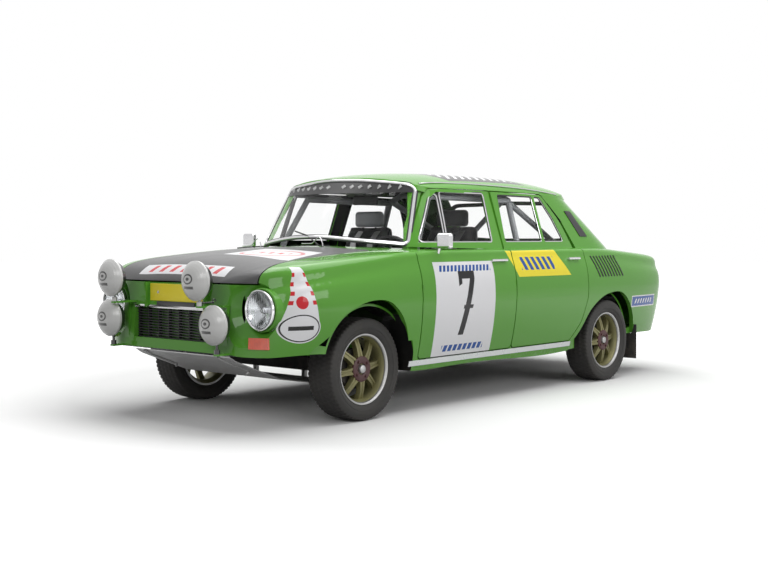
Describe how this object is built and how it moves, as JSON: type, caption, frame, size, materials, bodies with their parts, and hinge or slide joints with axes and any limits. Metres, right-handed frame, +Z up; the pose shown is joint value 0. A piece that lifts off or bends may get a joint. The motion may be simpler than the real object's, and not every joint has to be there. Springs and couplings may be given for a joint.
{
  "type": "rally car",
  "caption": "Four-door rally saloon with opening doors and lids, steered front wheels, roll cage, auxiliary driving lamps and a skid plate.",
  "frame": {"origin": "on the ground under the middle of the car, midway between the axles and on the centre plane", "axes": "+X towards the car's left side, +Y towards its tail, +Z up"},
  "size_m": [1.716, 4.2154, 1.386],
  "materials": {
    "body_green": "gloss",
    "lid_black": "satin",
    "window_glass": "clear",
    "tyre_rubber": "matt",
    "wheel_gold": "satin",
    "bright_metal": "polished",
    "grille_black": "matt",
    "lamp_glass": "clear",
    "lamp_cover": "gloss",
    "signal_orange": "gloss",
    "tail_red": "gloss",
    "plate_grey": "dull",
    "chassis_black": "satin",
    "engine_grey": "rough",
    "exhaust_steel": "brushed",
    "seat_black": "woven",
    "dash_black": "matt",
    "cage_grey": "satin",
    "flap_rubber": "matt",
    "sill_silver": "satin"
  },
  "bodies": {
    "body": {"nose_panel": "body_green", "front_body": "body_green", "floor_pan": "body_green", "scuttle_panel": "body_green", "door_pillars": "body_green", "rear_body": "body_green", "roof_shell": "body_green", "fixed_glass": "window_glass", "radiator_grille": "grille_black", "headlamps": "bright_metal", "driving_lamps": "lamp_cover", "lamp_brackets": "body_green", "turn_signals": "signal_orange", "tail_lamps": "tail_red", "skid_plate": "plate_grey", "front_suspension": "chassis_black", "rear_suspension": "chassis_black", "engine_block": "engine_grey", "exhaust": "exhaust_steel", "mudflaps": "flap_rubber", "sill_trim": "sill_silver", "cooling_vents": "grille_black", "driver_seat": "seat_black", "passenger_seat": "seat_black", "dashboard": "dash_black", "gear_lever": "dash_black", "roll_cage": "cage_grey"},
    "knuckle_left": {"front_left_knuckle": "chassis_black"},
    "knuckle_right": {"front_right_knuckle": "chassis_black"},
    "steering_wheel": {"steering_wheel": "dash_black"},
    "wheel_front_left": {"front_left_tyre": "tyre_rubber", "front_left_rim": "wheel_gold"},
    "wheel_front_right": {"front_right_tyre": "tyre_rubber", "front_right_rim": "wheel_gold"},
    "wheel_rear_left": {"rear_left_tyre": "tyre_rubber", "rear_left_rim": "wheel_gold"},
    "wheel_rear_right": {"rear_right_tyre": "tyre_rubber", "rear_right_rim": "wheel_gold"},
    "door_front_left": {"front_left_door": "body_green", "front_left_glass": "window_glass", "front_left_fittings": "bright_metal"},
    "door_front_right": {"front_right_door": "body_green", "front_right_glass": "window_glass", "front_right_fittings": "bright_metal"},
    "door_rear_left": {"rear_left_door": "body_green", "rear_left_glass": "window_glass", "rear_left_fittings": "bright_metal"},
    "door_rear_right": {"rear_right_door": "body_green", "rear_right_glass": "window_glass", "rear_right_fittings": "bright_metal"},
    "front_lid": {"front_lid": "lid_black"},
    "engine_lid": {"engine_lid": "lid_black"}
  },
  "joints": [
    {"name": "steer_left", "type": "hinge", "parent": "body", "child": "knuckle_left", "pos_m": [0.59, -1.2, 0.277], "axis": [0, 0, 1], "range_deg": [-28, 28]},
    {"name": "steer_right", "type": "hinge", "parent": "body", "child": "knuckle_right", "pos_m": [-0.59, -1.2, 0.277], "axis": [0, 0, 1], "range_deg": [-28, 28]},
    {"name": "steering_wheel_turn", "type": "hinge", "parent": "body", "child": "steering_wheel", "pos_m": [0.35, -0.49992, 0.815], "axis": [0, 0.9063, 0.4226], "range_deg": [-365, 365]},
    {"name": "front_left_wheel_spin", "type": "hinge", "parent": "knuckle_left", "child": "wheel_front_left", "pos_m": [0.636, -1.2, 0.277], "axis": [1, 0, 0], "continuous": true},
    {"name": "front_right_wheel_spin", "type": "hinge", "parent": "knuckle_right", "child": "wheel_front_right", "pos_m": [-0.636, -1.2, 0.277], "axis": [1, 0, 0], "continuous": true},
    {"name": "rear_left_wheel_spin", "type": "hinge", "parent": "body", "child": "wheel_rear_left", "pos_m": [0.7, 1.2, 0.277], "axis": [1, 0, 0], "continuous": true},
    {"name": "rear_right_wheel_spin", "type": "hinge", "parent": "body", "child": "wheel_rear_right", "pos_m": [-0.7, 1.2, 0.277], "axis": [1, 0, 0], "continuous": true},
    {"name": "front_left_door_hinge", "type": "hinge", "parent": "body", "child": "door_front_left", "pos_m": [0.80772, -0.824, 0.645], "axis": [0, 0, -1], "range_deg": [0, 65]},
    {"name": "front_right_door_hinge", "type": "hinge", "parent": "body", "child": "door_front_right", "pos_m": [-0.80772, -0.824, 0.645], "axis": [0, 0, 1], "range_deg": [0, 65]},
    {"name": "rear_left_door_hinge", "type": "hinge", "parent": "body", "child": "door_rear_left", "pos_m": [0.81322, 0.07488, 0.645], "axis": [0, 0, -1], "range_deg": [0, 65]},
    {"name": "rear_right_door_hinge", "type": "hinge", "parent": "body", "child": "door_rear_right", "pos_m": [-0.81322, 0.07488, 0.645], "axis": [0, 0, 1], "range_deg": [0, 65]},
    {"name": "front_lid_hinge", "type": "hinge", "parent": "body", "child": "front_lid", "pos_m": [0, -0.96, 0.94366], "axis": [-1, 0, 0], "range_deg": [0, 60]},
    {"name": "engine_lid_hinge", "type": "hinge", "parent": "body", "child": "engine_lid", "pos_m": [0, 1.47435, 0.93727], "axis": [1, 0, 0], "range_deg": [0, 60]}
  ],
  "couplings": [
    {"joint": "steer_right", "follows": "steer_left", "ratio": 1},
    {"joint": "steering_wheel_turn", "follows": "steer_left", "ratio": 13}
  ]
}
